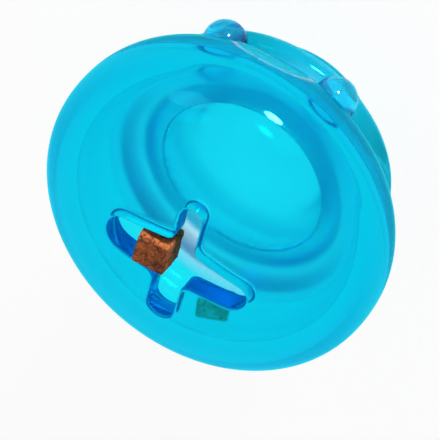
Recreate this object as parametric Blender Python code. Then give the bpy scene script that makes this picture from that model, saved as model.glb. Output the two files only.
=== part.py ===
"""A treat ball for dogs: two bonded translucent rubber shells, two studs that pin the joint, and two treats.

The toy stands on the small flat at the back, so +Z runs along its axis, out through the cross-shaped mouth.
The flat on the rim and the studs beside it face -Y. Everything is in metres.
"""
import math

import bmesh
import bpy
from mathutils import Euler, Matrix, Vector

# Main chamber: the widest circle is the equator
BALL_RADIUS = 0.0550
FRONT_HEIGHT = 0.0305
EQUATOR_HEIGHT = 0.0562
WALL = 0.0070
CURVE_POWER = 2.3

# Rim, the groove behind it, and the neck inside
RIM_DEPTH = 0.0175
RIM_ROUND = 0.0032
GROOVE_REAR_DEPTH = 0.0262
GROOVE_CORNER = 0.0016
NECK_FRONT_DEPTH = 0.0156
CHAMBER_FLOOR_SHARE = 0.55

# Lap joint of the two shells: the rear shell's spigot sits in the front shell's collar
SPIGOT_SHARE = 0.5382
SPIGOT_WALL = 0.0020
SPIGOT_FRONT_DEPTH = 0.0180
COLLAR_WALL = 0.0038
BOND_THICKNESS = 0.0010
JOINT_GAP = 0.0003

# Rear shell: a rounded flange, then the rear dome with its small flat
CUP_WALL = 0.0051
FLANGE_WIDTH = 0.0065
FLANGE_ROUND = 0.0040
FLANGE_DEPTH = 0.0302
DOME_WALL = 0.0055
DOME_ROUND = 0.0185
STEP_ROUND = 0.0050

# Mouth: a cross whose outline runs round the tips of four arms and the four rubber tabs between them.
# Each circle is (x, y, radius). The held treat presses the tab at +X -Y towards the arm beside it.
ARM_TIPS = (
    (0.0165, 0.0002, 0.0059),
    (0.0002, 0.0200, 0.0043),
    (-0.0198, 0.0024, 0.0046),
    (-0.0020, -0.0179, 0.0035),
)
TAB_ENDS = (
    (0.0075, 0.0102, 0.0033),
    (-0.0082, 0.0101, 0.0035),
    (-0.0092, -0.0090, 0.0035),
    (0.0038, -0.0104, 0.0026),
)

# Studs in the groove, and the flat on the rim between them
STUD_BALL_RADIUS = 0.0068
STUD_PROUD = 0.0085
STUD_DEPTH = 0.0216
STUD_HALF_ANGLE = math.radians(25.3)
STUD_STEM_RADIUS = 0.0016
STUD_STEM_BITE = 0.0010
FLAT_TILT = math.radians(33)
FLAT_BLOCK = 0.0500
FLAT_DEPTH = 0.0014

# Treats: baked cubes, one held in the mouth and one loose against the chamber's side, as in the photograph
HELD_TREAT_SIZE = (0.0114, 0.0125, 0.0114)
HELD_TREAT_OFFSET = 0.0063
HELD_TREAT_PROUD = 0.0016
LOOSE_TREAT_SIZE = (0.0110, 0.0098, 0.0112)
LOOSE_TREAT_INSET = 0.0102
LOOSE_TREAT_RISE = 0.0011
LOOSE_TREAT_ANGLE = math.radians(102)
LOOSE_TREAT_TURNS = (math.radians(43), math.radians(-21), math.radians(4))
TREAT_CORNER = 0.0012

# How finely round shapes are cut
TURN_STEPS = 60
FRONT_STEPS = 11
BACK_STEPS = 4
ROUND_STEPS = 4
BALL_STEPS = 10
TIP_STEPS = 8
TAB_STEPS = 4
OVERRUN = 0.0040

# Sizes that follow from the ones above
TOP = EQUATOR_HEIGHT + FRONT_HEIGHT
SPIGOT_RADIUS = SPIGOT_SHARE * BALL_RADIUS
COLLAR_RADIUS = SPIGOT_RADIUS + 2.0 * JOINT_GAP + BOND_THICKNESS
GROOVE_RADIUS = COLLAR_RADIUS + COLLAR_WALL
NECK_RADIUS = SPIGOT_RADIUS - SPIGOT_WALL
CUP_RADIUS = SPIGOT_RADIUS - CUP_WALL
FLANGE_RADIUS = GROOVE_RADIUS + FLANGE_WIDTH
DOME_RADIUS = CUP_RADIUS + DOME_WALL
STUD_RING_RADIUS = GROOVE_RADIUS + STUD_PROUD
STUD_STEM_END = SPIGOT_RADIUS - STUD_STEM_BITE
LOOSE_TREAT_RADIUS = BALL_RADIUS - WALL - LOOSE_TREAT_INSET

RUBBER_COLOUR = (0.0, 0.60, 0.86, 1.0)
STUD_COLOUR = (0.0, 0.36, 0.75, 1.0)
BOND_COLOUR = (0.15, 0.65, 0.80, 1.0)
TREAT_COLOUR = (0.46, 0.17, 0.05, 1.0)


def clear_scene():
    """Remove every object that the file starts with."""
    for old in list(bpy.data.objects):
        bpy.data.objects.remove(old, do_unlink=True)


def make_material(name, colour, roughness, transmission=0.0):
    """A Principled material with one colour."""
    material = bpy.data.materials.new(name)
    material.use_nodes = True
    shader = material.node_tree.nodes["Principled BSDF"]
    shader.inputs["Base Color"].default_value = colour
    shader.inputs["Roughness"].default_value = roughness
    shader.inputs["Metallic"].default_value = 0.0
    shader.inputs["Transmission Weight"].default_value = transmission
    return material


def make_object(name, mesh, material=None):
    """Link a mesh to the scene under a name, shaded smooth with sharp edges kept."""
    mesh.shade_smooth()
    mesh.set_sharp_from_angle(angle=math.radians(35))
    if material:
        mesh.materials.append(material)
    made = bpy.data.objects.new(name, mesh)
    bpy.context.scene.collection.objects.link(made)
    return made


def make_cutter(name, mesh):
    """A hidden helper object for a Boolean."""
    cutter = make_object(name, mesh)
    cutter.hide_render = True
    cutter.display_type = "WIRE"
    return cutter


def cut(target, cutter):
    """Take the cutter's shape out of the target."""
    boolean = target.modifiers.new(cutter.name, "BOOLEAN")
    boolean.operation = "DIFFERENCE"
    boolean.solver = "EXACT"
    boolean.object = cutter


def turned_mesh(name, outline, steps=TURN_STEPS):
    """Turn a closed outline of (radius, height) points about Z; points with no radius become a pole."""
    shape = bmesh.new()
    rings = []
    for radius, height in outline:
        if radius == 0.0:
            rings.append([shape.verts.new((0.0, 0.0, height))])
            continue
        turn = [2.0 * math.pi * step / steps for step in range(steps)]
        rings.append([shape.verts.new((radius * math.cos(a), radius * math.sin(a), height)) for a in turn])
    for ring, following in zip(rings, rings[1:] + rings[:1]):
        if len(ring) == 1 and len(following) == 1:
            continue
        for step in range(steps):
            after = (step + 1) % steps
            if len(ring) == 1:
                shape.faces.new((ring[0], following[step], following[after]))
            elif len(following) == 1:
                shape.faces.new((ring[step], following[0], ring[after]))
            else:
                shape.faces.new((ring[step], following[step], following[after], ring[after]))
    bmesh.ops.recalc_face_normals(shape, faces=shape.faces)
    mesh = bpy.data.meshes.new(name)
    shape.to_mesh(mesh)
    shape.free()
    return mesh


def bow_points(radius, height, start_angle, end_angle, steps):
    """Points on the bowed profile; the angle is 0 at the pole and 90 degrees at the equator."""
    points = []
    for step in range(steps + 1):
        angle = start_angle + (end_angle - start_angle) * step / steps
        r = radius * abs(math.sin(angle)) ** (2.0 / CURVE_POWER)
        z = height * abs(math.cos(angle)) ** (2.0 / CURVE_POWER)
        points.append((r, math.copysign(z, math.cos(angle))))
    return points


def bow_angle_at(depth_share):
    """The profile's angle where it has come this share of its height behind the equator."""
    return math.pi - math.acos(depth_share ** (CURVE_POWER / 2.0))


def bow_normal_angle(radius, height, point):
    """Direction that the bowed profile faces at a point, in degrees from +radius towards +height."""
    out = (abs(point[0]) / radius) ** (CURVE_POWER - 1.0) / radius
    up = (abs(point[1]) / height) ** (CURVE_POWER - 1.0) / height
    return math.degrees(math.atan2(math.copysign(up, point[1]), out))


def bow_reach(radius, height, angle):
    """How far the bowed profile reaches in a direction, from the centre of the equator."""
    power = CURVE_POWER / (CURVE_POWER - 1.0)
    total = (radius * math.cos(angle)) ** power + (height * math.sin(angle)) ** power
    return total ** (1.0 / power)


def arc(centre, radius, start, end, steps=ROUND_STEPS):
    """Points on a round corner; angles in degrees, counted from +radius towards +height."""
    points = []
    for step in range(steps + 1):
        angle = math.radians(start + (end - start) * step / steps)
        points.append((centre[0] + radius * math.cos(angle), centre[1] + radius * math.sin(angle)))
    return points


def raised(points):
    """Move profile points from heights about the equator to heights above the base."""
    return [(radius, height + EQUATOR_HEIGHT) for radius, height in points]


def rim_points():
    """The rim: the bowed side turns in over a round edge and faces straight back."""
    edge = bow_points(BALL_RADIUS, FRONT_HEIGHT, 0.0, bow_angle_at(RIM_DEPTH / FRONT_HEIGHT), 1)[-1]
    facing = bow_normal_angle(BALL_RADIUS, FRONT_HEIGHT, edge)
    centre_radius = edge[0] - RIM_ROUND * math.cos(math.radians(facing))
    centre_height = edge[1] - RIM_ROUND * math.sin(math.radians(facing))
    return arc((centre_radius, centre_height), RIM_ROUND, facing, -90.0)


def chamber_points():
    """The inside of the main chamber, from the neck over the floor and the side to the pole."""
    radius = BALL_RADIUS - WALL
    height = FRONT_HEIGHT - WALL
    inside = [(NECK_RADIUS, -NECK_FRONT_DEPTH)]
    inside += bow_points(radius, height, bow_angle_at(CHAMBER_FLOOR_SHARE), math.pi / 2.0, BACK_STEPS)
    inside += bow_points(radius, height, math.pi / 2.0, 0.0, FRONT_STEPS)[1:]
    inside[-1] = (0.0, height)
    return inside


def front_outline():
    """Section of the front shell: the bowed outside, the rim, the groove's front, and the inside."""
    rim = rim_points()
    outside = bow_points(BALL_RADIUS, FRONT_HEIGHT, 0.0, math.pi / 2.0, FRONT_STEPS)
    outside[0] = (0.0, FRONT_HEIGHT)
    rim_angle = bow_angle_at(RIM_DEPTH / FRONT_HEIGHT)
    outside += bow_points(BALL_RADIUS, FRONT_HEIGHT, math.pi / 2.0, rim_angle, BACK_STEPS)[1:-1]
    groove_top = rim[-1][1] - GROOVE_CORNER
    groove = arc((GROOVE_RADIUS + GROOVE_CORNER, groove_top), GROOVE_CORNER, 90.0, 180.0, 3)
    collar = [
        (GROOVE_RADIUS, -GROOVE_REAR_DEPTH),
        (COLLAR_RADIUS, -GROOVE_REAR_DEPTH),
        (COLLAR_RADIUS, -SPIGOT_FRONT_DEPTH + JOINT_GAP),
        (NECK_RADIUS, -SPIGOT_FRONT_DEPTH + JOINT_GAP),
    ]
    return raised(outside + rim + groove + collar + chamber_points())


def tangent_angle(tip, tab, outwards):
    """Direction of the straight edge between a tip's circle and a tab's, which lie on its two sides."""
    away = Vector(tab[:2]) - Vector(tip[:2])
    lean = math.asin((tip[2] + tab[2]) / away.length)
    if outwards:
        return math.atan2(-away.y, -away.x) - lean
    return math.atan2(away.y, away.x) + lean


def circle_part(circle, start, end, side, steps):
    """Points round a circle as the edge turns from start to end; side is 1 at a tip and -1 at a tab."""
    points = []
    for step in range(steps + 1):
        heading = start + (end - start) * step / steps
        x = circle[0] + side * circle[2] * math.sin(heading)
        y = circle[1] - side * circle[2] * math.cos(heading)
        points.append((x, y))
    return points


def mouth_outline():
    """The mouth's cross: round arm tips and round tab ends, joined by straight edges that touch both."""
    points = []
    for index, tip in enumerate(ARM_TIPS):
        tab, before, following = TAB_ENDS[index], TAB_ENDS[index - 1], ARM_TIPS[(index + 1) % len(ARM_TIPS)]
        into_tip = tangent_angle(tip, before, True)
        out_of_tip = tangent_angle(tip, tab, False)
        out_of_tip += 2.0 * math.pi * math.ceil((into_tip - out_of_tip) / (2.0 * math.pi))
        points += circle_part(tip, into_tip, out_of_tip, 1.0, TIP_STEPS)
        into_next = tangent_angle(following, tab, True)
        into_next += 2.0 * math.pi * math.floor((out_of_tip - into_next) / (2.0 * math.pi))
        points += circle_part(tab, out_of_tip, into_next, -1.0, TAB_STEPS)
    return points


def prism_mesh(name, outline, low, high):
    """A straight prism over an outline, from one height to another."""
    shape = bmesh.new()
    base = [shape.verts.new((x, y, low)) for x, y in outline]
    face = shape.faces.new(base)
    grown = bmesh.ops.extrude_face_region(shape, geom=[face])
    tops = [item for item in grown["geom"] if isinstance(item, bmesh.types.BMVert)]
    bmesh.ops.translate(shape, verts=tops, vec=(0.0, 0.0, high - low))
    bmesh.ops.recalc_face_normals(shape, faces=shape.faces)
    mesh = bpy.data.meshes.new(name)
    shape.to_mesh(mesh)
    shape.free()
    return mesh


def stud_mesh(name, ball_radius, stem_radius):
    """A ball head with a stem that points inwards, along -X, from the ball's centre at the origin."""
    stem_end = STUD_RING_RADIUS - STUD_STEM_END + (ball_radius - STUD_BALL_RADIUS)
    neck = math.degrees(math.asin(stem_radius / ball_radius))
    outline = [(0.0, ball_radius)]
    outline += arc((0.0, 0.0), ball_radius, 90.0 - 180.0 / BALL_STEPS, neck - 90.0, BALL_STEPS)
    outline += [(stem_radius, -stem_end), (0.0, -stem_end)]
    mesh = turned_mesh(name, outline, 2 * BALL_STEPS)
    mesh.transform(Matrix.Rotation(math.pi / 2.0, 4, "Y"))
    return mesh


def stud_place(side):
    """World matrix of a stud; side is 1 or -1, counted from the flat at -Y."""
    angle = -math.pi / 2.0 + side * STUD_HALF_ANGLE
    height = EQUATOR_HEIGHT - STUD_DEPTH
    return Matrix.Rotation(angle, 4, "Z") @ Matrix.Translation((STUD_RING_RADIUS, 0.0, height))


def flat_mesh():
    """A block whose inner face cuts the small flat on the rim."""
    outward = Vector((0.0, -math.cos(FLAT_TILT), -math.sin(FLAT_TILT)))
    face = outward * (bow_reach(BALL_RADIUS, FRONT_HEIGHT, FLAT_TILT) - FLAT_DEPTH)
    centre = face + outward * FLAT_BLOCK / 2.0 + Vector((0.0, 0.0, EQUATOR_HEIGHT))
    shape = bmesh.new()
    bmesh.ops.create_cube(shape, size=FLAT_BLOCK)
    block = Matrix.Translation(centre) @ Matrix.Rotation(FLAT_TILT, 4, "X")
    bmesh.ops.transform(shape, matrix=block, verts=shape.verts)
    mesh = bpy.data.meshes.new("rim_flat")
    shape.to_mesh(mesh)
    shape.free()
    return mesh


def rear_outline():
    """Section of the rear shell: spigot, flange, rear dome and the space inside them."""
    flange_centre = (FLANGE_RADIUS - FLANGE_ROUND, -FLANGE_DEPTH)
    dome_centre = (DOME_RADIUS - DOME_ROUND, -EQUATOR_HEIGHT + DOME_ROUND)
    shoulder = -FLANGE_DEPTH - FLANGE_ROUND
    outside = [
        (NECK_RADIUS, -SPIGOT_FRONT_DEPTH),
        (SPIGOT_RADIUS, -SPIGOT_FRONT_DEPTH),
        (SPIGOT_RADIUS, -GROOVE_REAR_DEPTH - JOINT_GAP),
        (GROOVE_RADIUS, -GROOVE_REAR_DEPTH - JOINT_GAP),
    ]
    outside += arc(flange_centre, FLANGE_ROUND, 80.0, -80.0, 2 * ROUND_STEPS)
    outside += arc((DOME_RADIUS + STEP_ROUND, shoulder - STEP_ROUND), STEP_ROUND, 90.0, 160.0, 3)
    outside += arc(dome_centre, DOME_ROUND, -8.0, -90.0, 2 * ROUND_STEPS)
    inner_dome = DOME_ROUND - WALL
    inside = [(0.0, -EQUATOR_HEIGHT), (0.0, -EQUATOR_HEIGHT + WALL)]
    inside += arc(dome_centre, inner_dome, -90.0, 0.0, ROUND_STEPS + 2)
    inside += [(CUP_RADIUS, -FLANGE_DEPTH), (NECK_RADIUS, -GROOVE_REAR_DEPTH)]
    return raised(outside + inside)


def bond_outline():
    """Section of the ring of cured adhesive between the collar and the spigot."""
    inner = SPIGOT_RADIUS + JOINT_GAP
    outer = inner + BOND_THICKNESS
    low = -GROOVE_REAR_DEPTH + JOINT_GAP
    high = -SPIGOT_FRONT_DEPTH
    return raised([(inner, low), (outer, low), (outer, high), (inner, high)])


def treat_mesh(name, size):
    """A small block with rounded corners, centred on the origin."""
    shape = bmesh.new()
    bmesh.ops.create_cube(shape, size=1.0)
    bmesh.ops.transform(shape, matrix=Matrix.Diagonal((*size, 1.0)), verts=shape.verts)
    bmesh.ops.bevel(
        shape, geom=shape.edges[:], offset=TREAT_CORNER, segments=2, profile=0.5, affect="EDGES"
    )
    bmesh.ops.recalc_face_normals(shape, faces=shape.faces)
    mesh = bpy.data.meshes.new(name)
    shape.to_mesh(mesh)
    shape.free()
    return mesh


def build_shells(rubber):
    """The two shells, with the mouth, the flat and the stud seats cut into them."""
    front = make_object("front_shell", turned_mesh("front_shell", front_outline()), rubber)
    rear = make_object("rear_shell", turned_mesh("rear_shell", rear_outline()), rubber)
    mouth_low = EQUATOR_HEIGHT
    mouth = prism_mesh("mouth_cutter", mouth_outline(), mouth_low, TOP + OVERRUN)
    cut(front, make_cutter("mouth_cutter", mouth))
    cut(front, make_cutter("rim_flat_cutter", flat_mesh()))
    return front, rear


def build_studs(front, rear, bond, material):
    """Two studs in the groove, and the seats that they leave in the shells and the bond."""
    for side, name in ((1, "stud_right"), (-1, "stud_left")):
        stud = make_object(name, stud_mesh(name, STUD_BALL_RADIUS, STUD_STEM_RADIUS), material)
        stud.matrix_world = stud_place(side)
        seat_mesh = stud_mesh(name + "_seat", STUD_BALL_RADIUS + JOINT_GAP, STUD_STEM_RADIUS + JOINT_GAP)
        seat = make_cutter(name + "_seat", seat_mesh)
        seat.matrix_world = stud_place(side)
        for shell in (front, rear, bond):
            cut(shell, seat)


def build_treats(material):
    """The treat held in one arm of the mouth, and the loose one against the chamber's side."""
    held = make_object("held_treat", treat_mesh("held_treat", HELD_TREAT_SIZE), material)
    held.location = (HELD_TREAT_OFFSET, 0.0, TOP + HELD_TREAT_PROUD - HELD_TREAT_SIZE[2] / 2.0)
    loose = make_object("loose_treat", treat_mesh("loose_treat", LOOSE_TREAT_SIZE), material)
    along_x = LOOSE_TREAT_RADIUS * math.cos(LOOSE_TREAT_ANGLE)
    along_y = LOOSE_TREAT_RADIUS * math.sin(LOOSE_TREAT_ANGLE)
    place = Matrix.Translation((along_x, along_y, EQUATOR_HEIGHT + LOOSE_TREAT_RISE))
    loose.matrix_world = place @ Euler(LOOSE_TREAT_TURNS).to_matrix().to_4x4()


def main():
    """Build the whole toy."""
    clear_scene()
    rubber = make_material("clear_blue_rubber", RUBBER_COLOUR, 0.08, 0.9)
    stud_rubber = make_material("stud_rubber", STUD_COLOUR, 0.10, 0.6)
    bond_film = make_material("cured_bond", BOND_COLOUR, 0.30, 0.5)
    biscuit = make_material("baked_treat", TREAT_COLOUR, 0.90)
    front, rear = build_shells(rubber)
    bond = make_object("bond_ring", turned_mesh("bond_ring", bond_outline()), bond_film)
    build_studs(front, rear, bond, stud_rubber)
    build_treats(biscuit)


main()
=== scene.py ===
"""Looks of a treat ball for dogs: clear rubber shells, their bond, two studs and baked treats.

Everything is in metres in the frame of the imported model: +Z runs along the toy's axis, out through the mouth.
"""
import logging
import math
from collections.abc import Callable, Sequence
from dataclasses import dataclass
from enum import Enum

import bmesh
import bpy
import numpy as np
from bpy.types import Material, Mesh, NodeSocket, NodeTree, Object
from mathutils import Euler, Matrix, Vector


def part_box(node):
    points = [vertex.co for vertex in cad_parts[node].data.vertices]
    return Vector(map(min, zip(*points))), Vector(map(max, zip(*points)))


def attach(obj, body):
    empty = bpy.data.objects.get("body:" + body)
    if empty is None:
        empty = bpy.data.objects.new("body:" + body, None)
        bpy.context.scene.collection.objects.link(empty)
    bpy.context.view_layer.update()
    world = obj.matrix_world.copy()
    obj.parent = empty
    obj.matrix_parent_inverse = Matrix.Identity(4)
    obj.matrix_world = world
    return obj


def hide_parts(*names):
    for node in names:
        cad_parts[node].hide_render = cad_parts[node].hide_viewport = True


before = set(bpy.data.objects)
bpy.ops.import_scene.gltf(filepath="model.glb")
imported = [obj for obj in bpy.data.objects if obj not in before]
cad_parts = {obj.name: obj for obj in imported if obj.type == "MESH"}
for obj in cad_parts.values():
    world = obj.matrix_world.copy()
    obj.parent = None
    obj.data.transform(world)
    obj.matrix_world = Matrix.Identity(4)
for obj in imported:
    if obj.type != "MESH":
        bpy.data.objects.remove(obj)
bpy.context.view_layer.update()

LOG = logging.getLogger("treat_ball")
Array = np.ndarray
Point = tuple[float, float]
Colour = tuple[float, float, float]
Circle = tuple[float, float, float]
Point3 = tuple[float, float, float]

BODY = "toy_body"
EQUATOR_HEIGHT = 0.0562
TINY = 1e-7
STRAIGHT = math.radians(88.0)
LONGEST_CUT = 0.45
WHITE: Colour = (1.0, 1.0, 1.0)


class Node(Enum):
    """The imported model's nodes that get a look here."""

    FRONT = "front_shell"
    REAR = "rear_shell"
    BOND = "bond_ring"
    STUD_LEFT = "stud_left"
    STUD_RIGHT = "stud_right"
    HELD = "held_treat"
    LOOSE = "loose_treat"


class Slot(Enum):
    """The record's material slots."""

    RUBBER = "blue_rubber"
    STUD = "stud_rubber"
    BOND = "cured_bond"
    TREAT = "baked_treat"


class Mask(Enum):
    """Values at a mesh's points that its material reads: bonded, frosted, bowed face, and a painted highlight
    on round edges.
    """

    JOINED = "joined"
    SOFT = "soft"
    BOWED = "bowed"
    EDGE = "edge"


class Wiring:
    """Adds nodes to a node tree and links them, so that a material reads from top to bottom."""

    def __init__(self, tree: NodeTree) -> None:
        """Keep the tree and clear it."""
        self.tree = tree
        tree.nodes.clear()

    def add(
        self, kind: str, settings: dict[str, object] | None = None, *first: object, **values: object
    ) -> bpy.types.Node:
        """Add a node.

        Args:
            kind: Blender's name of the node type.
            settings: Attributes of the node, such as its operation.
            first: What its first sockets get, in their order: an output is linked, anything else is set.
            values: Other sockets by name, with spaces as underscores.

        Returns:
            The new node.
        """
        node = self.tree.nodes.new(kind)
        for name, setting in (settings or {}).items():
            setattr(node, name, setting)
        for socket, value in zip(node.inputs, first):
            self.feed(socket, value)
        for name, value in values.items():
            self.feed(node.inputs[name.replace("_", " ")], value)
        return node

    def out(self, *parts: object, **values: object) -> NodeSocket:
        """The first output of a new node, which is told as in add()."""
        return self.add(*parts, **values).outputs[0]

    def feed(self, socket: NodeSocket, value: object) -> None:
        """Link an output to a socket, or set the socket's own value.

        Args:
            socket: The input socket.
            value: An output socket, or a plain value.
        """
        if isinstance(value, NodeSocket):
            self.tree.links.new(value, socket)
        elif isinstance(value, tuple) and len(value) == 3 and socket.type == "RGBA":
            socket.default_value = (*value, 1.0)
        else:
            socket.default_value = value

    def math(self, operation: str, *operands: object) -> NodeSocket:
        """The result of a Math node."""
        return self.out("ShaderNodeMath", {"operation": operation}, *operands)

    def blend(self, share: object, first: object, second: object) -> NodeSocket:
        """Mix two colours.

        Args:
            share: How much of the second colour shows.
            first: The first colour.
            second: The second colour.

        Returns:
            The mixed colour.
        """
        node = self.add("ShaderNodeMix", {"data_type": "RGBA"})
        self.feed(node.inputs["Factor"], share)
        self.feed(node.inputs[6], first)
        self.feed(node.inputs[7], second)
        return node.outputs[2]

    def mix(self, share: object, first: object, second: object) -> NodeSocket:
        """Mix two shaders; the share is how much of the second one shows."""
        return self.out("ShaderNodeMixShader", None, share, first, second)

    def spread(self, value: object, start: Point, end: Point = (0.0, 1.0)) -> NodeSocket:
        """Map the range from start[0] to start[1] to that from end[0] to end[1], clamped."""
        return self.out("ShaderNodeMapRange", None, value, *start, *end)

    def clear_body(self, shader: NodeSocket, colour: Colour, density: float) -> None:
        """Give out a surface whose inside takes up all light but this colour."""
        tint = self.out("ShaderNodeVolumeAbsorption", Color=colour, Density=density)
        self.add("ShaderNodeOutputMaterial", Surface=shader, Volume=tint)

    def noise(self, **values: object) -> NodeSocket:
        """One Noise Texture's value; with a W it has four dimensions."""
        settings = {"noise_dimensions": "4D"} if "W" in values else None
        return self.out("ShaderNodeTexNoise", settings, **values)

    def mask(self, mask: Mask) -> NodeSocket:
        """A mask that the piece's mesh carries."""
        return self.add("ShaderNodeAttribute", {"attribute_name": mask.value}).outputs["Fac"]

    def place(self) -> NodeSocket:
        """The place on the piece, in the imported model's frame."""
        return self.add("ShaderNodeTexCoord").outputs["Object"]


def new_material(name: str) -> tuple[Material, Wiring]:
    """Start a material that has no nodes yet.

    Args:
        name: The material's name.

    Returns:
        The material and its wiring.
    """
    made = bpy.data.materials.new(name)
    made.use_nodes = True
    return made, Wiring(made.node_tree)


def new_group(
    kind: str, name: str, inputs: dict[str, float | int | None], outputs: Sequence[str]
) -> tuple[NodeTree, Wiring, object, object]:
    """Start a node group with number sockets, or with geometry ones.

    Args:
        kind: Shader, for a group that gives out numbers, or Geometry, for one that gives out geometry.
        name: The group's name.
        inputs: Input names and their defaults; None stands for a geometry.
        outputs: Output names.

    Returns:
        The group, its wiring, the outputs of its input node and the inputs of its output node.
    """
    group = bpy.data.node_groups.new(name, kind + "NodeTree")
    sorts = {float: "NodeSocketFloat", int: "NodeSocketInt", type(None): "NodeSocketGeometry"}
    for label, default in inputs.items():
        socket = group.interface.new_socket(label, in_out="INPUT", socket_type=sorts[type(default)])
        if default is not None:
            socket.default_value = default
    given_out = sorts[float] if kind == "Shader" else sorts[type(None)]
    for label in outputs:
        group.interface.new_socket(label, in_out="OUTPUT", socket_type=given_out)
    wiring = Wiring(group)
    return group, wiring, wiring.add("NodeGroupInput").outputs, wiring.add("NodeGroupOutput").inputs


def flow_group() -> NodeTree:
    """The slow waves and the fine uneven haze that a moulded clear surface has.

    Returns:
        A group with a Height and a Haze output.
    """
    given_inputs = {"Scale": 40.0, "Streaks": 0.4}
    fine_scale, haze_range = 90.0, (0.45, 0.75)
    group, wiring, given, result = new_group("Shader", "moulded_flow", given_inputs, ("Height", "Haze"))
    place = wiring.place()
    waves = wiring.noise(Vector=place, Scale=given["Scale"], Detail=0.0)
    fine = wiring.noise(Vector=place, Scale=fine_scale, Detail=1.0)
    wiring.feed(result["Height"], wiring.math("ADD", waves, wiring.math("MULTIPLY", fine, given["Streaks"])))
    wiring.feed(result["Haze"], wiring.spread(fine, haze_range))
    return group


def crumb_group() -> NodeTree:
    """Crumb, pits and scorched spots of a baked surface.

    Returns:
        A group with a Height, a Pits, a Patches and a Speckle output.
    """
    names = ("Height", "Pits", "Patches", "Speckle")
    pit_range, patch_range, grain_range = (0.36, 0.47), (0.38, 0.66), (0.15, 0.5)
    patch_scale, grain_scale = 230.0, 1500.0
    given_inputs = {"Crumb": 900.0, "Pits": 520.0}
    group, wiring, given, result = new_group("Shader", "baked_crumb", given_inputs, names)
    place = wiring.place()
    crumb = wiring.noise(Vector=place, Scale=given["Crumb"], Detail=6.0, Roughness=0.65)
    holes = wiring.noise(Vector=place, Scale=given["Pits"], Detail=5.0, Roughness=0.7, Distortion=0.6)
    pits = wiring.spread(holes, pit_range, (1.0, 0.0))
    patches = wiring.noise(Vector=place, Scale=patch_scale, Detail=6.0, Roughness=0.6)
    grains = wiring.add("ShaderNodeTexVoronoi", Vector=place, Scale=grain_scale)
    wiring.feed(result["Height"], wiring.math("SUBTRACT", crumb, pits))
    wiring.feed(result["Pits"], pits)
    wiring.feed(result["Patches"], wiring.spread(patches, patch_range))
    wiring.feed(result["Speckle"], wiring.spread(grains.outputs["Distance"], grain_range, (1.0, 0.0)))
    return group


@dataclass(frozen=True)
class ClearRubber:
    """Clear tinted rubber: light is taken out of it along its way through the wall."""

    name: str
    colour: Colour
    density: float
    wave_depth: float
    wave_scale: float
    bending: float = 1.45
    roughness: float = 0.03
    haze: float = 0.05
    inner_haze: float = 0.65
    entry: Colour = (1.0, 0.955, 0.988)
    skin: Colour = (0.06, 0.97, 0.955)
    # painted highlight: least share of white reflection on the masked round edges and seat lips, at any angle
    painted_highlight_share: float = 0.20
    reflection: Colour = (0.05, 0.85, 0.95)

    def material(self, flow: NodeTree) -> Material:
        """Build the material.

        Args:
            flow: The group with the moulded surface's waves.

        Returns:
            The material.
        """
        made, wiring = new_material(self.name)
        waves = wiring.add("ShaderNodeGroup", {"node_tree": flow}, Scale=self.wave_scale, Streaks=0.0).outputs
        bump = wiring.out("ShaderNodeBump", Strength=1.0, Distance=self.wave_depth, Height=waves["Height"])
        outer = wiring.spread(waves["Haze"], (0.0, 1.0), (self.roughness, self.roughness + self.haze))
        rough = wiring.math("ADD", outer, wiring.math("MULTIPLY", wiring.mask(Mask.SOFT), self.inner_haze))
        entry = wiring.blend(wiring.mask(Mask.BOWED), self.entry, self.skin)
        surface = {"Roughness": rough, "Normal": bump}
        bent = wiring.out("ShaderNodeBsdfRefraction", Color=entry, IOR=self.bending, **surface)
        # painted highlight: on the edge mask the reflection turns white and takes at least the painted share,
        # whatever the angle
        edge = wiring.mask(Mask.EDGE)
        inside = wiring.add("ShaderNodeNewGeometry").outputs["Backfacing"]
        shine = wiring.blend(wiring.math("MAXIMUM", inside, edge), self.reflection, WHITE)
        gloss = wiring.out("ShaderNodeBsdfGlossy", Color=shine, **surface)
        share = wiring.out("ShaderNodeFresnel", IOR=self.bending, Normal=bump)
        reflect_share_with_painted_highlight = wiring.math("MAXIMUM", share, wiring.math("MULTIPLY", edge, self.painted_highlight_share))
        clear = wiring.mix(reflect_share_with_painted_highlight, bent, gloss)
        shader = wiring.mix(wiring.mask(Mask.JOINED), clear, wiring.out("ShaderNodeBsdfTransparent"))
        wiring.clear_body(shader, self.colour, self.density)
        return made


@dataclass(frozen=True)
class CuredBond:
    """Cured adhesive film with a fine net of crazing."""

    name: str
    colour: Colour = (0.10, 0.82, 0.92)
    density: float = 120.0
    film: Colour = (0.85, 0.97, 1.0)
    crazed: Colour = (0.25, 0.55, 0.70)
    roughness: Point = (0.12, 0.6)
    bending: float = 1.3
    net_scale: float = 330.0
    net_width: float = 0.07
    net_strength: float = 0.6
    net_depth: float = 0.00012
    wave_scale: float = 200.0
    streaks: float = 0.5

    def material(self, flow: NodeTree) -> Material:
        """Build the material.

        Args:
            flow: The group with the moulded surface's waves.

        Returns:
            The material.
        """
        made, wiring = new_material(self.name)
        settings = {"feature": "DISTANCE_TO_EDGE"}
        net = wiring.add("ShaderNodeTexVoronoi", settings, Vector=wiring.place(), Scale=self.net_scale)
        lines = wiring.spread(net.outputs["Distance"], (0.0, self.net_width), (1.0, 0.0))
        settings = {"node_tree": flow}
        waves = wiring.add("ShaderNodeGroup", settings, Scale=self.wave_scale, Streaks=self.streaks)
        height = wiring.math("SUBTRACT", waves.outputs["Height"], lines)
        bump = wiring.out("ShaderNodeBump", Strength=1.0, Distance=self.net_depth, Height=height)
        shader = wiring.out(
            "ShaderNodeBsdfPrincipled",
            Base_Color=wiring.blend(lines, self.film, self.crazed),
            Roughness=wiring.spread(lines, (0.0, 1.0), self.roughness),
            Normal=bump,
            IOR=self.bending,
            Transmission_Weight=1.0,
            Alpha=wiring.math("MULTIPLY", lines, self.net_strength),
        )
        wiring.clear_body(shader, self.colour, self.density)
        return made


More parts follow.
